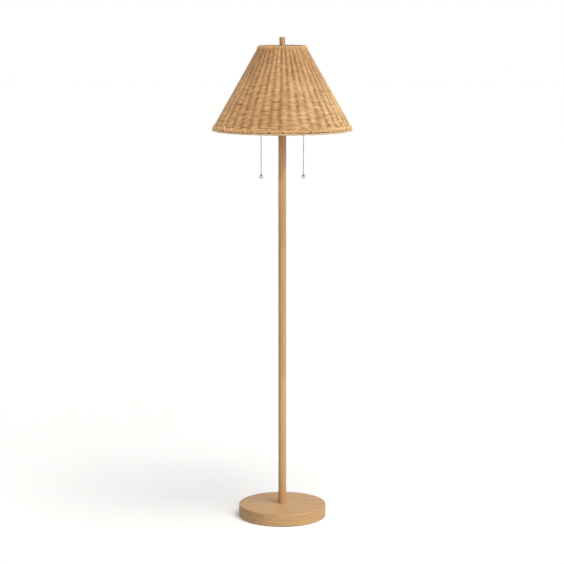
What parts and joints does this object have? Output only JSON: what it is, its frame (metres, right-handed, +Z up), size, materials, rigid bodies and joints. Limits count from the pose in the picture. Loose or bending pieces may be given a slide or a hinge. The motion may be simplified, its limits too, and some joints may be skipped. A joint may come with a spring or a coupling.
{
  "type": "floor lamp",
  "caption": "Floor lamp with a round weighted base, straight wood-finish pole, conical woven rattan shade, plain finial and bead chain pulls.",
  "frame": {"origin": "centre of the underside, on the floor", "axes": "+Z up along the pole, -Y towards the front, holders and chains along X"},
  "size_m": [0.442, 0.442, 1.5495],
  "materials": {
    "oak_finish": "light wood, fine straight grain, satin lacquer",
    "rattan": "woven natural rattan, thin clear lacquer",
    "polished_steel": "polished",
    "zinc_steel": "zinc plated",
    "cast_iron": "as cast, black paint",
    "brass": "satin lacquered brass",
    "white_enamel": "off-white enamel",
    "dark_plastic": "moulded, matt",
    "lead_jacket": "flexible jacket, matt",
    "felt": "pressed felt",
    "bulb_glass": "frosted white"
  },
  "bodies": {
    "stand": {"felt_pad": "felt", "base_disc": "oak_finish", "base_weight": "cast_iron", "base_stud": "zinc_steel", "base_washer": "zinc_steel", "base_nut": "zinc_steel", "lead_bushing": "dark_plastic", "inner_lead": "lead_jacket", "foot_insert": "zinc_steel", "lower_pole": "oak_finish", "middle_pole": "oak_finish", "upper_pole": "oak_finish", "lower_coupler": "zinc_steel", "upper_coupler": "zinc_steel", "top_insert": "zinc_steel", "cluster_body": "brass", "cluster_cover": "brass", "centre_stem": "brass", "right_arm": "brass", "right_arm_lead": "lead_jacket", "right_holder_cap": "brass", "right_holder_shell": "brass", "right_switch_body": "dark_plastic", "right_screw_shell": "brass", "right_contact": "brass", "right_bell_mouth": "brass", "right_chain_feed": "polished_steel", "left_arm": "brass", "left_arm_lead": "lead_jacket", "left_holder_cap": "brass", "left_holder_shell": "brass", "left_switch_body": "dark_plastic", "left_screw_shell": "brass", "left_contact": "brass", "left_bell_mouth": "brass", "left_chain_feed": "polished_steel"},
    "shade_seat": {"seat_washer": "brass"},
    "shade": {"shade_weave": "rattan", "bottom_border": "rattan", "top_border": "rattan", "bottom_ring": "white_enamel", "spider": "white_enamel"},
    "finial_core": {"finial_insert": "brass"},
    "finial_knob": {"finial": "oak_finish"},
    "right_chain_eye": {"right_first_bead": "polished_steel"},
    "right_chain_top": {"right_upper_chain": "polished_steel"},
    "right_pull": {"right_connector": "polished_steel", "right_lower_chain": "polished_steel", "right_pull_ball": "polished_steel"},
    "right_drum_wheel": {"right_drum": "brass"},
    "right_bulb_cap": {"right_bulb_base": "zinc_steel"},
    "right_bulb": {"right_bulb_glass": "bulb_glass"},
    "left_chain_eye": {"left_first_bead": "polished_steel"},
    "left_chain_top": {"left_upper_chain": "polished_steel"},
    "left_pull": {"left_connector": "polished_steel", "left_lower_chain": "polished_steel", "left_pull_ball": "polished_steel"},
    "left_drum_wheel": {"left_drum": "brass"},
    "left_bulb_cap": {"left_bulb_base": "zinc_steel"},
    "left_bulb": {"left_bulb_glass": "bulb_glass"}
  },
  "joints": [
    {"name": "shade_turn", "type": "hinge", "parent": "stand", "child": "shade_seat", "pos_m": [0, 0, 1.5107], "axis": [0, 0, 1], "continuous": true},
    {"name": "shade_lift", "type": "slide", "parent": "shade_seat", "child": "shade", "axis": [0, 0, 1], "range_m": [0, 0.3]},
    {"name": "finial_rise", "type": "slide", "parent": "shade", "child": "finial_core", "axis": [0, 0, 1], "range_m": [0, 0.012]},
    {"name": "finial_turn", "type": "hinge", "parent": "finial_core", "child": "finial_knob", "pos_m": [0, 0, 1.5158], "axis": [0, 0, 1], "range_deg": [0, 4325]},
    {"name": "right_chain_fore_aft", "type": "hinge", "parent": "stand", "child": "right_chain_eye", "pos_m": [0.0673, 0, 1.3799], "axis": [1, 0, 0], "range_deg": [-35, 35]},
    {"name": "right_chain_sideways", "type": "hinge", "parent": "right_chain_eye", "child": "right_chain_top", "pos_m": [0.0673, 0, 1.3799], "axis": [0, -1, 0], "range_deg": [-8, 35]},
    {"name": "right_chain_pull", "type": "slide", "parent": "right_chain_top", "child": "right_pull", "axis": [0, 0, -1], "range_m": [0, 0.0094], "stiffness_N_per_m": 600, "springref_m": -0.004},
    {"name": "right_drum_turn", "type": "hinge", "parent": "stand", "child": "right_drum_wheel", "pos_m": [0.044, 0, 1.3739], "axis": [0, 1, 0], "range_deg": [0, 60]},
    {"name": "right_bulb_rise", "type": "slide", "parent": "stand", "child": "right_bulb_cap", "axis": [0, 0, 1], "range_m": [0, 0.0163]},
    {"name": "right_bulb_turn", "type": "hinge", "parent": "right_bulb_cap", "child": "right_bulb", "pos_m": [0.044, 0, 1.3906], "axis": [0, 0, 1], "range_deg": [0, 1620]},
    {"name": "left_chain_fore_aft", "type": "hinge", "parent": "stand", "child": "left_chain_eye", "pos_m": [-0.0673, 0, 1.3799], "axis": [1, 0, 0], "range_deg": [-35, 35]},
    {"name": "left_chain_sideways", "type": "hinge", "parent": "left_chain_eye", "child": "left_chain_top", "pos_m": [-0.0673, 0, 1.3799], "axis": [0, 1, 0], "range_deg": [-8, 35]},
    {"name": "left_chain_pull", "type": "slide", "parent": "left_chain_top", "child": "left_pull", "axis": [0, 0, -1], "range_m": [0, 0.0094], "stiffness_N_per_m": 600, "springref_m": -0.004},
    {"name": "left_drum_turn", "type": "hinge", "parent": "stand", "child": "left_drum_wheel", "pos_m": [-0.044, 0, 1.3739], "axis": [0, -1, 0], "range_deg": [0, 60]},
    {"name": "left_bulb_rise", "type": "slide", "parent": "stand", "child": "left_bulb_cap", "axis": [0, 0, 1], "range_m": [0, 0.0163]},
    {"name": "left_bulb_turn", "type": "hinge", "parent": "left_bulb_cap", "child": "left_bulb", "pos_m": [-0.044, 0, 1.3906], "axis": [0, 0, 1], "range_deg": [0, 1620]}
  ],
  "couplings": [
    {"joint": "finial_turn", "follows": "finial_rise", "rad_per_m": 6283.2},
    {"joint": "right_drum_turn", "follows": "right_chain_pull", "rad_per_m": 111.11},
    {"joint": "right_bulb_turn", "follows": "right_bulb_rise", "rad_per_m": 1730.9},
    {"joint": "left_drum_turn", "follows": "left_chain_pull", "rad_per_m": 111.11},
    {"joint": "left_bulb_turn", "follows": "left_bulb_rise", "rad_per_m": 1730.9}
  ]
}
